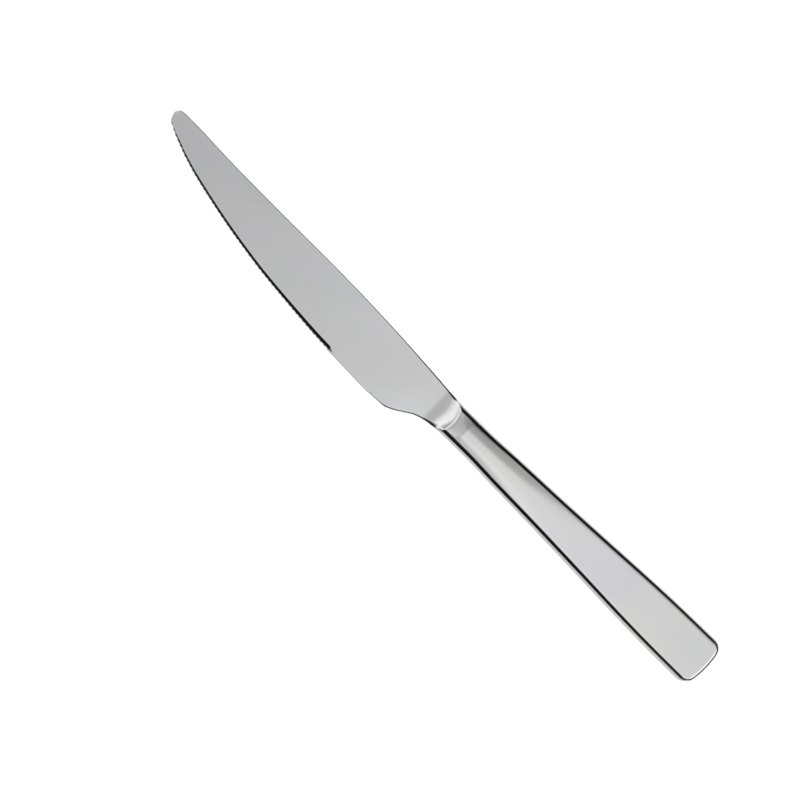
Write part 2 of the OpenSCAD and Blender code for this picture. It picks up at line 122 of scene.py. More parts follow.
@dataclass(frozen=True)
class KnifeSizes:
    """Driving sizes of the knife, in metres, with x from the tip and the handle's middle at y 0."""

    overall_len: float = 235 * MM
    handle_len: float = 102.7 * MM
    spine_rise: float = 4.45 * MM
    belly_drop: float = 6.8 * MM
    heel_thick: float = 2.2 * MM
    tip_thick: float = 1.2 * MM
    margin_share: float = 0.6
    edge_round: float = 0.28 * MM
    heel_round: float = 0.62 * MM
    teeth_run: float = 82.8 * MM
    tooth_pitch: float = 1.62 * MM
    tooth_depth: float = 0.24 * MM
    bevel_full_w: float = 1.0 * MM
    bevel_run_out: float = 1.8 * MM
    bevel_fall: float = 0.57
    soft_w: float = 0.55 * MM
    soft_slope: float = 0.05
    facet_w: float = 0.5 * MM
    facet_fall: float = 1.5
    knee_wave: float = 0.8
    least_wave: float = 0.2
    edge_thick: float = 0.1 * MM
    neck_w: float = 10.66 * MM
    neck_h: float = 6 * MM
    bolster_len: float = 3.9 * MM
    flank_len: float = 9.2 * MM
    crest_round: float = 2.6 * MM
    crest_bow: float = 0.9 * MM
    least_flank: float = 0.5
    bolster_fall: float = math.tan(math.radians(3))
    fall_fade: float = 2.2
    butt_w: float = 16.42 * MM
    butt_h: float = 8 * MM
    neck_round: float = 1.9 * MM
    side_round: float = 1.4 * MM
    butt_round: float = 0.7 * MM
    butt_corner: float = 3.6 * MM
    butt_bow: float = 30 * MM
    crown_angle: float = math.radians(9)
    shoulder_angle: float = math.radians(5)
    shoulder_w: float = 0.5 * MM
    wall: float = 0.8 * MM
    inner_share: float = 0.55
    braze_t: float = 0.15 * MM
    lap_depth: float = 0.04 * MM
    spigot_len: float = 4 * MM
    spigot_fit: float = 0.08 * MM
    tang_len: float = 56 * MM
    tang_w: float = 6.4 * MM
    tang_end_w: float = 4 * MM
    tang_t: float = 2.2 * MM
    notches: int = 5
    notch_r: float = 0.9 * MM
    notch_shift: float = 0.35
    edge_start_share: float = 0.0139

    @property
    def blade_len(self) -> float:
        """Length from the tip to the end of the bolster."""
        return self.overall_len - self.handle_len

    @property
    def edge_start(self) -> float:
        """Distance from the tip to the start of the cutting edge."""
        return self.edge_start_share * self.blade_len

    @property
    def teeth(self) -> int:
        """Number of teeth."""
        return round(self.teeth_run / self.tooth_pitch)

    @property
    def teeth_end(self) -> float:
        """Distance from the tip to the last tooth."""
        return self.edge_start + self.teeth * self.tooth_pitch

    @property
    def shell_start(self) -> float:
        """Distance from the tip to the mouth of the handle shells."""
        return self.blade_len + self.braze_t

    @property
    def bow_x(self) -> float:
        """Centre of the bowed butt."""
        return self.overall_len - self.butt_bow

    @property
    def inner_round(self) -> float:
        """Smallest rounding inside the shells."""
        return self.inner_share * self.wall

    @property
    def bolster_x(self) -> float:
        """Distance from the tip to the crest of the bolster, at its middle."""
        return self.blade_len - self.bolster_len

    def along(self, x: float) -> float:
        """Returns how far along the handle x lies, as a share."""
        return (x - self.blade_len) / self.handle_len

    def half_w(self, x: float) -> float:
        """Returns half of the handle's width at x."""
        return mix(self.neck_w, self.butt_w, flow(WIDTH_SHARES, clamp(self.along(x)))) / 2

    def half_h(self, x: float) -> float:
        """Returns half of the handle's height at x."""
        return mix(self.neck_h, self.butt_h, self.along(x)) / 2

    def side_r(self, x: float) -> float:
        """Returns the rounding of the handle's long sides at x."""
        return mix(self.neck_round, self.side_round, clamp(self.along(x)))

    def crown(self, x: float) -> float:
        """Returns the slope of the crowned face beside its rounded side at x."""
        return self.crown_angle * flow(CROWN_SHARES, clamp(self.along(x)))

    def inner_r(self, r: float, inset: float) -> float:
        """Returns a rounding r as it is on a skin that lies inset from the outside."""
        return max(r - inset, self.inner_round) if inset > 0 else r

    def spine_y(self, x: float) -> float:
        """Returns the spine's y at x."""
        return self.neck_w / 2 + self.spine_rise * flow(SPINE_SHARES, x / self.blade_len)

    def belly_y(self, x: float) -> float:
        """Returns the edge side's y at x, before any tooth is cut."""
        return -self.neck_w / 2 - self.belly_drop * flow(BELLY_SHARES, x / self.blade_len)

    def half_t(self, x: float) -> float:
        """Returns half of the blade's thickness at the spine at x."""
        return mix(self.tip_thick, self.heel_thick, x / self.blade_len) / 2

    def plate_z(self, x: float, y: float) -> float:
        """Returns half of the blade's thickness at x and y."""
        top, low = self.spine_y(x), self.belly_y(x)
        return self.half_t(x) * mix(1, self.margin_share, clamp((top - y) / (top - low)))

    def corner_r(self, x: float) -> float:
        """Returns the rounding of the blade's rim at x."""
        full = mix(self.edge_round, self.heel_round, flow(ROUND_SHARES, x / self.blade_len))
        return min(full, (self.spine_y(x) - self.belly_y(x)) / 4)

    def bevel_w(self, x: float) -> float:
        """Returns the width of the ground bevel at x."""
        return self.bevel_full_w * flow(BEVEL_SHARES, self.edge_share(x)) * self.bevel_part(x)

    def edge_share(self, x: float) -> float:
        """Returns how far along the toothed edge x lies, as a share."""
        return clamp((x - self.edge_start) / (self.teeth_end - self.edge_start))

    def bevel_depth(self, x: float) -> float:
        """Returns how far the ground bevel falls at x."""
        return self.bevel_w(x) * self.bevel_fall

    def facet(self, x: float) -> tuple[float, float]:
        """Returns the width and the fall of the steep facet outside the bevel at x."""
        width = self.facet_w * flow(FACET_SHARES, x / self.blade_len)
        left = 2 * self.plate_z(x, self.belly_y(x)) - self.bevel_depth(x) - self.edge_thick
        return width, min(width * self.facet_fall, left)

    def soft_drop(self, reach: float) -> float:
        """Returns how far the face eases down at a distance from the ground bevel."""
        return self.soft_slope * self.soft_w / 2 * max(0.0, 1 - reach / self.soft_w) ** 2

    def bevel_part(self, x: float) -> float:
        """Returns 1 where the bevel is whole, 0 where there is none, and between where it runs out."""
        if x < self.edge_start - WELD:
            return 0.0
        return 1.0 if x <= self.teeth_end else clamp(1 - (x - self.teeth_end) / self.bevel_run_out)

    def hollow(self, x: float) -> float:
        """Returns 0 at a tooth's point and 1 in the middle between two teeth."""
        if not self.edge_start <= x <= self.teeth_end:
            return 0.0
        return abs(math.sin(math.pi * (x - self.edge_start) / self.tooth_pitch))

    def placing(self) -> Matrix:
        """Returns the transform that lays the level knife down on the back of its handle."""
        tilt = math.atan2((self.butt_h - self.neck_h) / 2, self.handle_len)
        lift = self.neck_h / 2 * math.cos(tilt) - self.blade_len * math.sin(tilt) - self.lap_depth
        mid = Vector((self.overall_len / 2 * math.cos(tilt), (self.spine_rise - self.belly_drop) / 2, -lift))
        return Matrix.Translation(-mid) @ Matrix.Rotation(-tilt, 4, "Y")


SIZES = KnifeSizes()


class Side(Enum):
    """The two faces of the knife."""

    FRONT = 1
    BACK = -1


@dataclass(frozen=True)
class Profile:
    """Half of a cross section of the handle or the bolster: rounded sides and a crowned face between."""

    arc_steps: int = 12
    face_steps: int = 20

    @property
    def points(self) -> int:
        """Number of points from the spine side over the face to the edge side."""
        return 2 * self.arc_steps + self.face_steps + 1

    def step(self, i: int) -> int:
        """Returns how many steps point i lies from the nearer side."""
        return min(i, self.points - 1 - i)

    def inset(self, i: int, r: float, slope: float) -> float:
        """Returns how far in from its side point i lies, on a side of rounding r."""
        k = min(self.step(i), self.arc_steps)
        return r * (1 - math.sin(math.pi / 2 - k / self.arc_steps * (math.pi / 2 - slope)))

    def across(self, i: int, inset: float, top: float, low: float) -> float:
        """Returns the y of point i between two sides at top and low."""
        if self.step(i) <= self.arc_steps:
            return top - inset if i <= self.arc_steps else low + inset
        return mix(top - inset, low + inset, (1 - self.face_share(i - self.arc_steps)) / 2)

    def face_share(self, i: int) -> float:
        """Returns how far out the face's point i lies, from 1 to -1, closer together near the sides."""
        return math.sin(math.pi / 2 * (1 - 2 * i / self.face_steps))

    def drop(self, i: int, r: float, slope: float, half_w: float) -> float:
        """Returns how far below the crown's middle line point i lies."""
        end_y = half_w - r * (1 - math.sin(slope))
        if self.step(i) > self.arc_steps:
            return end_y * math.tan(slope) / 2 * self.face_share(i - self.arc_steps) ** 2
        angle = math.pi / 2 - self.step(i) / self.arc_steps * (math.pi / 2 - slope)
        return r * (math.cos(slope) - math.cos(angle)) + end_y * math.tan(slope) / 2


PROFILE = Profile()


def spread_grid(bm: bmesh.types.BMesh, columns: int, rows: int, surface) -> None:
    """Adds a grid and moves each of its points onto a surface.

    Args:
        bm: The mesh to add to.
        columns: Steps along the grid's first way.
        rows: Steps along its second way.
        surface: Gives the place of the point at column i and row j.
    """
    half = 0.5
    made = bmesh.ops.create_grid(bm, x_segments=columns, y_segments=rows, size=half)
    for vert in made["verts"]:
        i = round((vert.co.x + half) * columns)
        j = round((vert.co.y + half) * rows)
        vert.co = surface(i, j)


def close_up(bm: bmesh.types.BMesh) -> None:
    """Welds a mesh, caps its open ends and turns its faces outwards."""
    bmesh.ops.remove_doubles(bm, verts=bm.verts[:], dist=WELD)
    bmesh.ops.dissolve_degenerate(bm, edges=bm.edges[:], dist=WELD)
    open_edges = [e for e in bm.edges if e.is_boundary]
    if open_edges:
        bmesh.ops.holes_fill(bm, edges=open_edges, sides=0)
    bmesh.ops.recalc_face_normals(bm, faces=bm.faces[:])


def lap_flat(bm: bmesh.types.BMesh) -> None:
    """Cuts off what reaches below the ground, and closes the cut with flat faces."""
    if min(vert.co.z for vert in bm.verts) >= 0:
        return
    geometry = bm.verts[:] + bm.edges[:] + bm.faces[:]
    cut = bmesh.ops.bisect_plane(bm, geom=geometry, dist=WELD / 10, plane_co=(0, 0, 0), plane_no=(0, 0, -1),
                                 clear_outer=True)
    rim = [e for e in cut["geom_cut"] if isinstance(e, bmesh.types.BMEdge) and e.is_boundary]
    filled = bmesh.ops.holes_fill(bm, edges=rim, sides=0)
    for face in filled["faces"]:
        face.smooth = False
    for vert in bm.verts:
        vert.co.z = max(vert.co.z, 0.0)


def make_piece(name: str, bm: bmesh.types.BMesh, nodes: tuple[str, ...], finish: bpy.types.Material,
               sharp: float = math.radians(26)) -> bpy.types.Object:
    """Turns a level mesh into a finished piece that lies in place.

    Args:
        name: The piece's name.
        bm: Its mesh, in the knife's level frame. It is freed.
        nodes: The frame's nodes that it stands for.
        finish: Its material.
        sharp: The least angle between two faces that shows as a sharp edge.

    Returns:
        The new object.
    """
    bmesh.ops.transform(bm, matrix=SIZES.placing(), verts=bm.verts[:])
    for face in bm.faces:
        face.smooth = True
    lap_flat(bm)
    mesh = bpy.data.meshes.new(name)
    bm.to_mesh(mesh)
    bm.free()
    mesh.set_sharp_from_angle(angle=sharp)
    mesh.materials.append(finish)
    piece = bpy.data.objects.new(name, mesh)
    bpy.context.scene.collection.objects.link(piece)
    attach(piece, "root")
    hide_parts(*nodes)
    log.info("%s: %d faces", name, len(mesh.polygons))
    return piece


@dataclass
class NodeBoard:
    """Adds shader nodes to a tree, and sets or links their sockets."""

    tree: bpy.types.NodeTree

    def add(self, kind: str, sockets: dict | None = None, **settings) -> bpy.types.Node:
        """Adds one node.

        Args:
            kind: The node's type, without its leading ShaderNode.
            sockets: Inputs by name or number, each a value or another node's output.
            settings: Attributes of the node.

        Returns:
            The node.
        """
        node = self.tree.nodes.new("ShaderNode" + kind)
        for key, value in settings.items():
            setattr(node, key, value)
        for key, value in (sockets or {}).items():
            if isinstance(value, bpy.types.NodeSocket):
                self.tree.links.new(value, node.inputs[key])
            else:
                node.inputs[key].default_value = value
        return node

    def maths(self, operation: str, *values) -> bpy.types.NodeSocket:
        """Adds a Math node and returns its output."""
        return self.add("Math", dict(enumerate(values)), operation=operation).outputs[0]

    def ease(self, value, low: float, high: float, start: float = 0.0,
             end: float = 1.0) -> bpy.types.NodeSocket:
        """Returns an output that eases from start to end as value goes from low to high."""
        sockets = {"Value": value, "From Min": low, "From Max": high, "To Min": start, "To Max": end}
        return self.add("MapRange", sockets, interpolation_type="SMOOTHSTEP").outputs["Result"]

    def product(self, *values) -> bpy.types.NodeSocket:
        """Returns the product of two or more outputs."""
        result = values[0]
        for value in values[1:]:
            result = self.maths("MULTIPLY", result, value)
        return result

    def blend(self, share, first, second) -> bpy.types.NodeSocket:
        """Returns a colour that goes from first to second with a share."""
        sockets = {"Factor": share, "A": first, "B": second}
        return self.add("Mix", sockets, data_type="RGBA").outputs[2]

    def streaks(self, scale: tuple[float, float, float], detail: float) -> bpy.types.NodeSocket:
        """Returns noise on Object coordinates, stretched by a scale along each axis."""
        where = self.add("TexCoord").outputs["Object"]
        stretched = self.add("Mapping", {"Vector": where, "Scale": scale}).outputs["Vector"]
        noise = self.add("TexNoise", {"Vector": stretched, "Scale": 1.0, "Detail": detail, "Roughness": 0.6})
        return noise.outputs["Fac"]


def new_material(name: str) -> tuple[bpy.types.Material, NodeBoard, bpy.types.Node]:
    """Returns a new material, the board of its nodes and its shader."""
    material = bpy.data.materials.new(name)
    material.use_nodes = True
    return material, NodeBoard(material.node_tree), material.node_tree.nodes["Principled BSDF"]


@dataclass(frozen=True)
class SteelFinish:
    """Stainless steel with fine grinding lines, a faint cloudy tint and hairline scratches."""

    name: str
    bright: tuple[float, float, float]
    dull: tuple[float, float, float]
    roughness: float
    spread: float
    line_scale: tuple[float, float, float]
    line_depth: float
    tinge: tuple[float, float, float] = (0.60, 0.60, 0.66)
    tinge_share: float = 0.28

    def build(self) -> bpy.types.Material:
        """Builds the material and returns it."""
        material, board, shader = new_material(self.name)
        shader.inputs["Metallic"].default_value = 1.0
        clouds = board.ease(board.streaks((34, 60, 60), 2.0), 0.35, 0.65)
        patches = board.ease(board.streaks((22, 45, 45), 1.0), 0.48, 0.70, 0.0, self.tinge_share)
        lines = board.streaks(self.line_scale, 3.0)
        scratches = board.ease(board.streaks((90, 5200, 5200), 1.0), 0.70, 0.78)
        tint = board.blend(clouds, (*self.dull, 1), (*self.bright, 1))
        tinged = board.blend(patches, tint, (*self.tinge, 1))
        rough_lines = board.maths("MULTIPLY_ADD", lines, self.spread, self.roughness - self.spread / 2)
        rough = board.maths("MULTIPLY_ADD", scratches, 0.05, rough_lines)
        height = board.maths("MULTIPLY_ADD", scratches, -0.4, lines)
        bump = board.add("Bump", {"Height": height, "Strength": self.line_depth, "Distance": 0.02 * MM})
        material.node_tree.links.new(tinged, shader.inputs["Base Color"])
        material.node_tree.links.new(rough, shader.inputs["Roughness"])
        material.node_tree.links.new(bump.outputs["Normal"], shader.inputs["Normal"])
        return material


@dataclass(frozen=True)
class CementFinish:
    """Grainy filler that sets inside the handle."""

    name: str = "handle_cement"
    light: tuple[float, float, float] = (0.56, 0.51, 0.43)
    dark: tuple[float, float, float] = (0.40, 0.36, 0.30)

    def build(self) -> bpy.types.Material:
        """Builds the material and returns it."""
        material, board, shader = new_material(self.name)
        grain = board.streaks((2600, 2600, 2600), 6.0)
        tint = board.blend(grain, (*self.dark, 1), (*self.light, 1))
        bump = board.add("Bump", {"Height": grain, "Strength": 0.5, "Distance": 0.1 * MM})
        shader.inputs["Roughness"].default_value = 0.85
        material.node_tree.links.new(tint, shader.inputs["Base Color"])
        material.node_tree.links.new(bump.outputs["Normal"], shader.inputs["Normal"])
        return material


BLADE_STEEL = SteelFinish("blade_steel", (0.625, 0.625, 0.635), (0.600, 0.603, 0.600), 0.15, 0.05,
                          (1500, 70, 70), 0.10)
HANDLE_STEEL = SteelFinish("handle_steel", (0.680, 0.678, 0.672), (0.655, 0.658, 0.655), 0.13, 0.04,
                           (60, 2600, 2600), 0.08)
SILVER_BRAZE = SteelFinish("silver_braze", (0.620, 0.614, 0.596), (0.585, 0.578, 0.560), 0.24, 0.08,
                           (400, 400, 400), 0.20)


@dataclass
class Blade:
    """The forging: blade, ground edge, heel, flanks and bolster, with the spigot and tang in the handle."""

    sizes: KnifeSizes = SIZES
    profile: Profile = PROFILE
    tooth_steps: int = 12
    groove_depth: float = 0.03 * MM
    tip_shares: tuple[float, ...] = (0, 0.0004, 0.001, 0.0018, 0.0028, 0.004, 0.0055, 0.0075, 0.0095, 0.0118)
    plain_steps: int = 30
    run_out_steps: int = 8
    heel_share: float = 0.815
    heel_steps: int = 34
    flank_steps: int = 44
    bolster_steps: int = 10
    tang_steps: int = 400
    tang_end_steps: int = 24
    rows: list = field(default_factory=list)

    @property
    def flank_x(self) -> float:
        """Distance from the tip to the start of the hollow flank."""
        return self.sizes.bolster_x - self.sizes.flank_len

    def spine_drop(self, i: int, x: float) -> float:
        """Returns how far point i of the plate's section lies below its face, by the rim's rounding."""
        k = min(self.profile.step(i), self.profile.arc_steps)
        return self.sizes.corner_r(x) * (1 - math.sin(k / self.profile.arc_steps * math.pi / 2))

    def plate_point(self, i: int, x: float) -> Vector:
        """Returns point i of the front of a section across the plate, from spine to edge."""
        s, p = self.sizes, self.profile
        r, top, low = s.corner_r(x), s.spine_y(x), s.belly_y(x)
        facet_w, facet_depth = s.facet(x)
        ground = clamp((s.bevel_w(x) + facet_w) / r)
        plain = Vector((x, p.across(i, p.inset(i, r, 0), top, low), 0))
        plain.z = s.plate_z(x, plain.y) - self.spine_drop(i, x)
        if i > p.points // 2:
            plain.z -= s.soft_drop(max(0.0, plain.y - low - r))
        if i <= p.arc_steps or ground == 0:
            return plain
        shoulder = low + max(s.bevel_w(x) + facet_w, r * (1 - ground))
        if i < p.points - 1 - p.arc_steps:
            y = mix(top - r, shoulder, (1 - p.face_share(i - p.arc_steps)) / 2)
            return Vector((x, y, s.plate_z(x, y) - s.soft_drop(y - shoulder)))
        half = p.arc_steps // 2
        k = p.step(i)
        hollow = s.hollow(x)
        brow = s.plate_z(x, shoulder) - s.soft_drop(0)
        knee = Vector((x, low + facet_w, brow - s.bevel_depth(x)))
        knee_wave = mix(s.knee_wave, s.least_wave, facet_w / s.facet_w)
        if k >= half:
            share = 2 - k / half
            place = mix(Vector((x, shoulder, brow)), knee, share)
            place.y += s.tooth_depth * hollow * share * knee_wave
            place.z -= self.groove_depth * hollow * share
        else:
            share = 1 - k / half
            place = mix(knee, Vector((x, low, knee.z - facet_depth)), share)
            place.y += s.tooth_depth * hollow * mix(knee_wave, 1, share)
            place.z -= self.groove_depth * hollow
        return mix(plain, place, ground)

    def back_point(self, i: int, x: float) -> Vector:
        """Returns point i of the back of a section across the plate."""
        s, p = self.sizes, self.profile
        r, top, low = s.corner_r(x), s.spine_y(x), s.belly_y(x) + s.tooth_depth * s.hollow(x)
        y = p.across(i, p.inset(i, r, 0), top, low)
        near_edge = i > p.points // 2
        rounded = 1 - clamp((s.bevel_w(x) + s.facet(x)[0]) / r) if near_edge else 1
        return Vector((x, y, self.spine_drop(i, x) * rounded - s.plate_z(x, y)))

    def bolster_height(self, i: int, x: float) -> float:
        """Returns the height of point i of the bolster's section at x."""
        s = self.sizes
        middle = max(0.0, 1 - s.fall_fade * self.neck_share(i) ** 2)
        fall = s.bolster_fall * middle * (s.blade_len - x)
        return s.half_h(x) - fall - self.profile.drop(i, s.neck_round, s.crown_angle, s.neck_w / 2)

    def neck_share(self, i: int) -> float:
        """Returns how far out point i of the bolster's section lies, from 1 at the spine side to -1."""
        s, p = self.sizes, self.profile
        half_w = s.neck_w / 2
        return p.across(i, p.inset(i, s.neck_round, s.crown_angle), half_w, -half_w) / half_w

    def crest_x(self, i: int) -> float:
        """Returns where the crest of the bolster lies at point i, where the round hollow meets its top."""
        s = self.sizes
        middle = self.profile.points // 2
        rises = []
        for k in (middle, i):
            top = self.bolster_height(k, s.bolster_x) - s.bolster_fall * s.flank_len / 2
            rises.append(top - self.plate_point(k, self.flank_x).z)
        round_r = (s.flank_len ** 2 + rises[0] ** 2) / (2 * rises[0])
        rise = clamp(rises[1] / rises[0]) * rises[0]
        reach = math.sqrt(round_r ** 2 - (round_r - rise) ** 2)
        return self.flank_x + max(reach - s.crest_bow * self.neck_share(i) ** 2, s.least_flank * s.flank_len)

    def flank_rise(self, reach: float, total: float, rise: float) -> float:
        """Returns the height on the hollow flank, which ends in a rounded crest.

        Args:
            reach: Distance from the flank's start.
            total: Length of the flank.
            rise: Its whole height.

        Returns:
            The height at reach.
        """
        end_rise = self.sizes.bolster_fall * total / 2
        steep = 2 * math.atan((rise - end_rise) / total)
        both = total / math.sin(steep)
        crest = min(self.sizes.crest_round, both / 2)
        hollow = both - crest
        lean = self.sizes.bolster_fall * reach * reach / (2 * total)
        if reach <= hollow * math.sin(steep):
            return lean + hollow - math.sqrt(hollow ** 2 - reach ** 2)
        return lean + rise - end_rise - crest + math.sqrt(crest ** 2 - (total - reach) ** 2)

    def neck_y(self, i: int, x: float, share: float) -> float:
        """Returns the y of point i, share of the way from the plate's rounding to the bolster's."""
        s, p = self.sizes, self.profile
        inset = mix(p.inset(i, s.corner_r(x), 0), p.inset(i, s.neck_round, s.crown_angle), share)
        return p.across(i, inset, s.spine_y(x), s.belly_y(x))

    def flank_point(self, i: int, share: float) -> Vector:
        """Returns point i of the hollow flank, share of the way to its crest."""
        low = self.plate_point(i, self.flank_x).z
        total = self.crest_x(i) - self.flank_x
        top = self.bolster_height(i, self.crest_x(i))
        x = self.flank_x + share * total
        rise = top - low
        steep_enough = rise > self.sizes.bolster_fall * total
        z = low + self.flank_rise(share * total, total, rise) if steep_enough else mix(low, top, share)
        return Vector((x, self.neck_y(i, x, share), z))

    def bolster_point(self, i: int, share: float) -> Vector:
        """Returns point i of the bolster, share of the way from its crest to the handle."""
        x = mix(self.crest_x(i), self.sizes.blade_len, share)
        return Vector((x, self.neck_y(i, x, 1), self.bolster_height(i, x)))

    def stations(self) -> list:
        """Returns one function per row that gives the front or back point i of that row."""
        s = self.sizes
        teeth = s.teeth * self.tooth_steps
        plate = [share * s.blade_len for share in self.tip_shares]
        plate += [s.edge_start + n * s.tooth_pitch / self.tooth_steps for n in range(teeth + 1)]
        run_out = s.teeth_end + s.bevel_run_out
        heel = self.heel_share * s.blade_len
        ends = self.run_out_steps
        plate += [mix(s.teeth_end, run_out, n / ends) for n in range(1, ends + 1)]
        plate += [mix(run_out, heel, n / self.plain_steps) for n in range(1, self.plain_steps)]
        plate += [mix(heel, self.flank_x, n / self.heel_steps) for n in range(self.heel_steps)]
        rows = [(self.plate_point, self.back_point, x) for x in plate]
        rows += [(self.flank_point, None, n / self.flank_steps) for n in range(self.flank_steps + 1)]
        rows += [(self.bolster_point, None, n / self.bolster_steps) for n in range(1, self.bolster_steps + 1)]
        return rows

    def ring_point(self, i: int, j: int) -> Vector:
        """Returns point i of ring j, which runs over the front and home over the back."""
        n = self.profile.points
        front, back, where = self.rows[j]
        i %= 2 * n
        if i < n:
            return front(i, where)
        if back:
            return back(2 * n - 1 - i, where)
        point = front(2 * n - 1 - i, where)
        return Vector((point.x, point.y, -point.z))

    def add_spigot(self, bm: bmesh.types.BMesh) -> None:
        """Adds the spigot that fills the mouth of the handle."""
        s, p = self.sizes, self.profile
        inset = s.wall + s.spigot_fit
        r = s.inner_r(s.neck_round, inset)
        half_w = s.neck_w / 2 - inset

        def surface(i: int, j: int) -> Vector:
            """Returns point i at the spigot's near or far end."""
            n = p.points
            k = i % (2 * n)
            front = k if k < n else 2 * n - 1 - k
            z = s.half_h(s.blade_len) - inset - p.drop(front, r, s.crown_angle, half_w)
            y = p.across(front, p.inset(front, r, s.crown_angle), half_w, -half_w)
            x = mix(s.blade_len, s.shell_start + s.spigot_len, j)
            return Vector((x, y, z if k < n else -z))

        spread_grid(bm, 2 * p.points, 1, surface)

    def add_tang(self, bm: bmesh.types.BMesh) -> None:
        """Adds the tapered tang with its round notches and round end."""
        s = self.sizes
        x0 = s.shell_start + s.spigot_len
        x1 = x0 + s.tang_len - s.tang_end_w / 2
        steps, turns = self.tang_steps, self.tang_end_steps

        def half_width(x: float) -> float:
            """Returns half of the tang's width at x, notches taken out."""
            full = mix(s.tang_w, s.tang_end_w, (x - s.blade_len) / (x1 - s.blade_len)) / 2
            for n in range(1, s.notches + 1):
                gap = abs(x - mix(x0, x1, n / (s.notches + 1)))
                if gap < s.notch_r:
                    full = min(full, full + s.notch_r * s.notch_shift - math.sqrt(s.notch_r ** 2 - gap ** 2))
            return full

        def surface(i: int, j: int) -> Vector:
            """Returns one of the four corners of the tang's section at row j."""
            side = (1, -1, -1, 1)[i % 4]
            face = (1, 1, -1, -1)[i % 4]
            if j <= steps:
                x = mix(x0, x1, j / steps)
                return Vector((x, side * half_width(x), face * s.tang_t / 2))
            angle = (j - steps) / turns * math.pi / 2
            r = s.tang_end_w / 2
            return Vector((x1 + r * math.sin(angle), side * r * math.cos(angle), face * s.tang_t / 2))

        spread_grid(bm, 4, steps + turns, surface)

    def build(self, finish: bpy.types.Material) -> bpy.types.Object:
        """Builds the forging with its finish and returns it."""
        self.rows = self.stations()
        bm = bmesh.new()
        spread_grid(bm, 2 * self.profile.points, len(self.rows) - 1, self.ring_point)
        close_up(bm)
        for add in (self.add_spigot, self.add_tang):
            part = bmesh.new()
            add(part)
            close_up(part)
            scratch = bpy.data.meshes.new("part_of_forging")
            part.to_mesh(scratch)
            part.free()
            bm.from_mesh(scratch)
            bpy.data.meshes.remove(scratch)
        return make_piece("blade_forging", bm, ("blade",), finish)


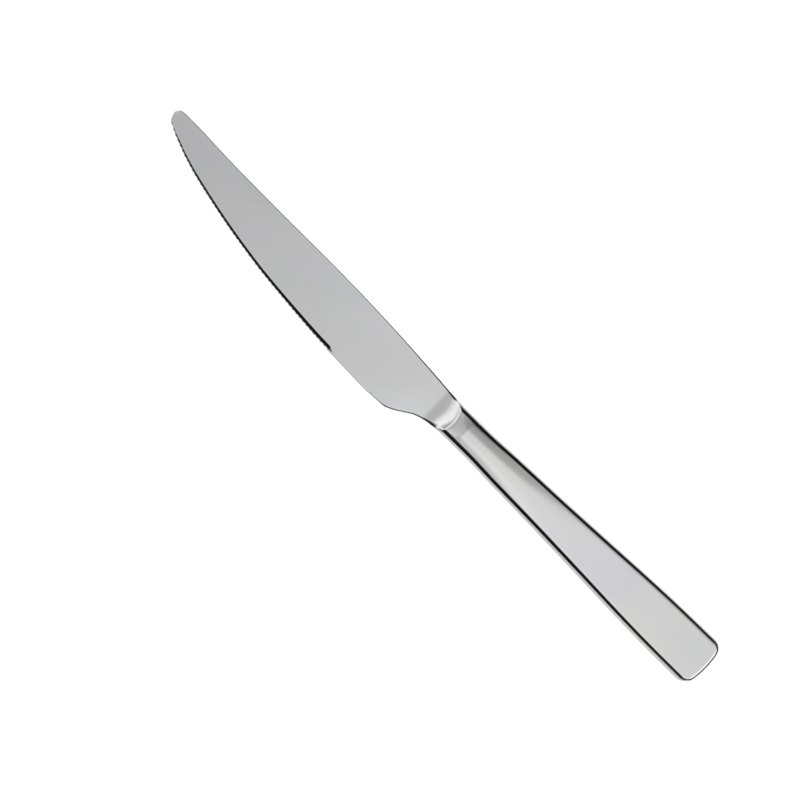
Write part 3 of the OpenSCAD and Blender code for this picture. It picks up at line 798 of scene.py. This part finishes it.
@dataclass
class HollowHandle:
    """Two stamped half shells, the braze between them and the ring of braze at the neck."""

    sizes: KnifeSizes = SIZES
    profile: Profile = PROFILE
    side_steps: int = 70
    corner_steps: int = 12
    butt_steps: int = 16
    rim_ease: float = 0.03 * MM
    least_corner: float = 1.05

    def half_path(self, inset: float) -> list[tuple[float, ...]]:
        """Follows the spine side of the handle from its mouth to the middle of the butt.

        Args:
            inset: How far inside the outline the path runs.

        Returns:
            Rows of x, y, way out in x, way out in y, rounding and slope of the crown.
        """
        s = self.sizes
        half, bow = s.butt_w / 2 - inset, s.butt_bow - inset
        corner = max(s.butt_corner - inset, s.inner_round * self.least_corner) if inset > 0 else s.butt_corner
        corner_x = s.bow_x + math.sqrt((bow - corner) ** 2 - (half - corner) ** 2)
        turn = math.atan2(half - corner, corner_x - s.bow_x)
        path = []
        for i in range(self.side_steps + 1):
            x = mix(s.shell_start, corner_x, i / self.side_steps)
            path.append((x, s.half_w(x) - inset, 0, 1, s.inner_r(s.side_r(x), inset), s.crown(x)))
        for i in range(1, self.corner_steps + 1):
            share = i / self.corner_steps
            a = mix(math.pi / 2, turn, share)
            r = s.inner_r(mix(s.side_round, s.butt_round, share), inset)
            x, y = corner_x + corner * math.cos(a), half - corner + corner * math.sin(a)
            path.append((x, y, math.cos(a), math.sin(a), r, 0))
        for i in range(1, self.butt_steps + 1):
            a = mix(turn, 0, i / self.butt_steps)
            r = s.inner_r(s.butt_round, inset)
            path.append((s.bow_x + bow * math.cos(a), bow * math.sin(a), math.cos(a), math.sin(a), r, 0))
        return path

    @staticmethod
    def full_path(half: list[tuple[float, ...]]) -> list[tuple[float, ...]]:
        """Returns a half path carried on round the butt and back along the edge side."""
        return half + [(x, -y, nx, -ny, r, slope) for x, y, nx, ny, r, slope in reversed(half[:-1])]

    def shoulder_drop(self, x: float, y: float, inset: float) -> float:
        """Returns how far the soft shoulder inside the rim lowers the outer skin at x and y.

        Args:
            x: Distance from the tip.
            y: Distance from the handle's middle line.
            inset: How far inside the outside the skin runs. Only the outside has the shoulder.

        Returns:
            The drop.
        """
        s = self.sizes
        if inset > 0:
            return 0.0
        to_side = s.half_w(x) - abs(y) - s.side_r(x)
        to_butt = s.butt_bow - math.hypot(x - s.bow_x, y) - s.butt_round if x > s.bow_x else s.butt_bow
        near = max(0.0, min(to_side, to_butt))
        slope = max(0.0, s.shoulder_angle - s.crown(x))
        return math.tan(slope) * s.shoulder_w / 2 * max(0.0, 1 - near / s.shoulder_w) ** 2

    def add_skin(self, bm: bmesh.types.BMesh, inset: float) -> None:
        """Adds one skin of a half shell: its sides and butt, and the face that they round into."""
        s, p = self.sizes, self.profile
        half = self.half_path(inset)
        path = self.full_path(half)
        foot = s.braze_t / 2
        ease = self.rim_ease if inset == 0 else 0

        def side(i: int, j: int) -> Vector:
            """Returns the point j steps along the outline and i rows up from the rim."""
            x, y, nx, ny, r, slope = path[j]
            if i < 2:
                back = ease * (1 - i)
                return Vector((x - nx * back, y - ny * back, foot + ease * i))
            k = i - 2
            d = p.inset(k, r, slope)
            x -= nx * d
            z = s.half_h(x) - inset - p.drop(k, r, slope, abs(path[j][1]))
            edge = path[j][4] * (1 - math.sin(slope))
            fall = self.shoulder_drop(path[j][0] - nx * edge, path[j][1] - ny * edge, inset)
            return Vector((x, y - ny * d, z - fall))

        def face(i: int, j: int) -> Vector:
            """Returns the point i steps across the face at row j."""
            x, y, nx, ny, r, slope = half[j]
            d = r * (1 - math.sin(slope))
            x -= nx * d
            share = p.face_share(i)
            z = s.half_h(x) - inset - p.drop(p.arc_steps + i, r, slope, y)
            place = Vector((x, (y - ny * d) * share, z))
            place.z -= self.shoulder_drop(place.x, place.y, inset)
            return place

        spread_grid(bm, p.arc_steps + 2, len(path) - 1, side)
        spread_grid(bm, p.face_steps, len(half) - 1, face)
        bmesh.ops.remove_doubles(bm, verts=bm.verts[:], dist=WELD)
        bmesh.ops.dissolve_degenerate(bm, edges=bm.edges[:], dist=WELD)

    def build_shell(self, side: Side, finish: bpy.types.Material) -> bpy.types.Object:
        """Builds one half shell.

        Args:
            side: The face of the knife that it is on.
            finish: Its material.

        Returns:
            The half shell.
        """
        bm = bmesh.new()
        self.add_skin(bm, 0)
        self.add_skin(bm, self.sizes.wall)
        rims = [e for e in bm.edges if e.is_boundary]
        bmesh.ops.bridge_loops(bm, edges=rims)
        bmesh.ops.scale(bm, vec=(1, 1, side.value), verts=bm.verts[:])
        bmesh.ops.recalc_face_normals(bm, faces=bm.faces[:])
        name = side.name.lower()
        return make_piece(f"{name}_half_shell", bm, (f"{name}_shell",), finish)

    def build_seam(self, finish: bpy.types.Material) -> bpy.types.Object:
        """Builds the thin ribbon of braze between the shells and returns it."""
        s = self.sizes
        outer = self.full_path(self.half_path(0))
        inner = self.full_path(self.half_path(s.wall))

        def surface(i: int, j: int) -> Vector:
            """Returns one of the four corners of the ribbon at row j."""
            x, y, nx, ny = (inner if i % 4 in (1, 2) else outer)[j][:4]
            back = 0 if i % 4 in (1, 2) else self.rim_ease / 2
            return Vector((x - nx * back, y - ny * back, (1, 1, -1, -1)[i % 4] * s.braze_t / 2))

        bm = bmesh.new()
        spread_grid(bm, 4, len(outer) - 1, surface)
        close_up(bm)
        return make_piece("seam_line", bm, ("seam_braze",), finish)

    def build_neck_ring(self, finish: bpy.types.Material) -> bpy.types.Object:
        """Builds the ring of braze between the bolster and the handle and returns it."""
        s, p = self.sizes, self.profile

        def rim(k: int, inset: float) -> tuple[float, float]:
            """Returns the y and z of point k round the section, inset from the outside."""
            n = p.points
            front = k if k < n else 2 * n - 1 - k
            r = s.inner_r(s.neck_round, inset)
            half_w = s.neck_w / 2 - inset
            z = s.half_h(s.blade_len) - inset - p.drop(front, r, s.crown_angle, half_w)
            return p.across(front, p.inset(front, r, s.crown_angle), half_w, -half_w), z if k < n else -z

        def surface(i: int, j: int) -> Vector:
            """Returns point i round the ring at one of the four corners of its section."""
            y, z = rim(i % (2 * p.points), s.wall if j % 4 in (1, 2) else self.rim_ease / 2)
            return Vector((s.blade_len + (0, 0, 1, 1)[j % 4] * s.braze_t, y, z))

        bm = bmesh.new()
        spread_grid(bm, 2 * p.points, 4, surface)
        close_up(bm)
        return make_piece("neck_ring", bm, ("neck_braze",), finish)

    def build(self, steel: bpy.types.Material, braze: bpy.types.Material) -> list[bpy.types.Object]:
        """Builds all four pieces of the handle and returns them."""
        shells = [self.build_shell(side, steel) for side in Side]
        return shells + [self.build_seam(braze), self.build_neck_ring(braze)]


@dataclass(frozen=True)
class Studio:
    """Pale floor, soft light and the camera above the knife."""

    view_centre: tuple[float, float] = (-6.32 * MM, -5.79 * MM)
    view_turn: float = math.radians(44.534)
    view_lean: float = math.radians(5)
    view_width: float = 244.43 * MM
    view_height: float = 4 * MM
    lens: float = 135.0
    sensor: float = 36.0
    floor_half: float = 4.0
    floor_steps: int = 8
    floor_glow: float = 0.84
    floor_mirror_glow: float = 0.30
    floor_drop: float = 0.02 * MM
    lamp_size: float = 3.2
    lamp_height: float = 1.9
    lamp_power: float = 16.5
    least_up: float = 0.02
    least_run: float = 0.001
    beyond_light: float = 0.05
    least_light: float = 0.012

    def add_floor(self) -> None:
        """Adds the pale floor under the knife."""
        bm = bmesh.new()
        bmesh.ops.create_grid(bm, x_segments=self.floor_steps, y_segments=self.floor_steps,
                              size=self.floor_half)
        bmesh.ops.translate(bm, vec=(0, 0, -self.floor_drop), verts=bm.verts[:])
        mesh = bpy.data.meshes.new("floor")
        bm.to_mesh(mesh)
        bm.free()
        material, board, shader = new_material("pale_floor")
        mottle = board.ease(board.streaks((9, 9, 9), 3.0), 0.2, 0.8, 0.90, 0.93)
        tint = board.add("CombineColor", {"Red": mottle, "Green": mottle, "Blue": mottle})
        material.node_tree.links.new(tint.outputs[0], shader.inputs["Base Color"])
        shader.inputs["Roughness"].default_value = 0.9
        shader.inputs["Specular IOR Level"].default_value = 0.0
        shader.inputs["Emission Color"].default_value = (1, 1, 1, 1)
        seen = board.add("LightPath").outputs["Is Camera Ray"]
        more = self.floor_glow - self.floor_mirror_glow
        glow = board.maths("MULTIPLY_ADD", seen, more, self.floor_mirror_glow)
        material.node_tree.links.new(glow, shader.inputs["Emission Strength"])
        mesh.materials.append(material)
        floor = bpy.data.objects.new("floor", mesh)
        bpy.context.scene.collection.objects.link(floor)

    def add_floor_light(self) -> None:
        """Adds a large soft light that brightens the floor and shows in no reflection."""
        light = bpy.data.lights.new("floor_light", "AREA")
        light.shape = "DISK"
        light.size = self.lamp_size
        light.energy = self.lamp_power
        lamp = bpy.data.objects.new("floor_light", light)
        lamp.location = (0, 0, self.lamp_height)
        lamp.visible_glossy = False
        lamp.visible_camera = False
        bpy.context.scene.collection.objects.link(lamp)

    @staticmethod
    def panel(board: NodeBoard, tx, ty) -> bpy.types.NodeSocket:
        """Returns the light of the long panel, which steps down differently on its two sides."""
        edge_side = board.maths("MULTIPLY", ty, -1.0)
        rise, dip = board.ease(tx, -0.17, 0.05, 0.66, 1.04), board.ease(tx, 0.0, 0.11, 1.04, 0.86)
        core = board.maths("ADD", board.maths("MINIMUM", rise, dip), board.ease(tx, 0.13, 0.18, 0.0, 0.7))
        return board.product(
            core, board.ease(tx, 0.36, 0.44, 1.0, 0.0), board.ease(tx, -0.62, -0.50),
            board.ease(edge_side, 0.06, 0.11, 1.0, 1.14), board.ease(edge_side, 0.16, 0.22, 1.0, 0.68),
            board.ease(edge_side, 0.34, 0.42, 1.0, 0.0), board.ease(ty, 0.07, 0.12, 1.0, 0.53),
            board.ease(ty, 0.28, 0.33, 1.0, 0.0),
        )

    @staticmethod
    def card(board: NodeBoard, tx, ty, away, heading) -> bpy.types.NodeSocket:
        """Returns the light of the bowed card beyond the tip, which is dimmer where it stands low."""
        bowed = board.maths("SUBTRACT", board.maths("MULTIPLY", tx, -1.0), board.maths("MULTIPLY", ty, ty))
        stand = board.product(board.ease(away, 0.90, 1.0), board.ease(heading, 0.20, 0.42, 1.0, 0.0))
        return board.product(
            board.ease(bowed, 0.38, 0.68, 0.0, 1.45), board.ease(away, 1.3, 1.7, 1.0, 0.0),
            board.ease(heading, 0.5, 0.85, 1.0, 0.0), board.ease(tx, -0.35, -0.2, 1.0, 0.0),
            board.maths("MULTIPLY_ADD", stand, -0.62, 1.0),
        )

    @staticmethod
    def low_fill(board: NodeBoard, tx, ty, away, heading) -> bpy.types.NodeSocket:
        """Returns the faint light low down in three quarters, all but the one at +X and +Y."""
        dark_quarter = board.product(board.ease(tx, -0.1, 0.1), board.ease(ty, -0.1, 0.1))
        return board.product(
            board.ease(away, 1.8, 2.5), board.ease(heading, 0.45, 0.7, 0.0, 0.6),
            board.ease(heading, 1.2, 1.7, 1.0, 0.0), board.maths("SUBTRACT", 1.0, dark_quarter),
        )

    def add_sky(self) -> None:
        """Builds the soft studio that the steel reflects.

        A long soft panel hangs over the knife along its length. It is dimmer towards the tip and
        brightest towards the butt, and it is dark beyond its sides. A bowed card stands beyond the
        tip, and a faint fill low down in three quarters. The camera itself sees plain white.
        """
        world = bpy.data.worlds.new("studio")
        bpy.context.scene.world = world
        world.use_nodes = True
        tree = world.node_tree
        board = NodeBoard(tree)
        ray = board.add("SeparateXYZ", {0: board.add("TexCoord").outputs["Generated"]})
        up = board.maths("MAXIMUM", ray.outputs["Z"], self.least_up)
        tx = board.maths("DIVIDE", ray.outputs["X"], up)
        ty = board.maths("SUBTRACT", board.maths("DIVIDE", ray.outputs["Y"], up), math.tan(self.view_lean))
        out = board.maths("ABSOLUTE", ty)
        run = board.maths("MAXIMUM", board.maths("ABSOLUTE", tx), self.least_run)
        away = board.maths("SQRT", board.maths("MULTIPLY_ADD", tx, tx, board.maths("MULTIPLY", ty, ty)))
        heading = board.maths("DIVIDE", out, run)
        radiance = board.ease(tx, 0.1, 0.4, self.least_light, self.least_light + self.beyond_light)
        for part in (self.panel(board, tx, ty), self.card(board, tx, ty, away, heading),
                     self.low_fill(board, tx, ty, away, heading)):
            radiance = board.maths("ADD", radiance, part)
        seen = board.add("LightPath").outputs["Is Camera Ray"]
        background = tree.nodes["Background"]
        background.inputs["Color"].default_value = (1, 1, 1, 1)
        tree.links.new(board.maths("MAXIMUM", radiance, seen), background.inputs["Strength"])

    def add_camera(self) -> None:
        """Adds the camera over the knife, leaning out over the edge side, with the tip at the upper left."""
        data = bpy.data.cameras.new("camera")
        data.lens = self.lens
        data.sensor_width = self.sensor
        data.clip_start = 0.01
        camera = bpy.data.objects.new("camera", data)
        distance = self.lens / self.sensor * self.view_width
        centre = Matrix.Translation((*self.view_centre, self.view_height))
        lean = Matrix.Rotation(self.view_lean, 4, "X")
        turn = Matrix.Rotation(self.view_turn, 4, "Z")
        camera.matrix_world = centre @ lean @ turn @ Matrix.Translation((0, 0, distance))
        bpy.context.scene.collection.objects.link(camera)
        bpy.context.scene.camera = camera

    def build(self) -> None:
        """Builds the floor, the light, the surroundings and the camera."""
        self.add_floor()
        self.add_floor_light()
        self.add_sky()
        self.add_camera()
        bpy.context.scene.view_settings.view_transform = "Standard"


def dress_filler() -> None:
    """Gives the filler inside the handle its cement finish."""
    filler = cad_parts["cement_fill"]
    finish = CementFinish().build()
    for slot in filler.material_slots:
        slot.material = finish
    log.info("cement_fill: dressed")


def main() -> None:
    """Builds the knife and its studio."""
    Studio().build()
    Blade().build(BLADE_STEEL.build())
    HollowHandle().build(HANDLE_STEEL.build(), SILVER_BRAZE.build())
    dress_filler()


if __name__ == "__main__":
    main()
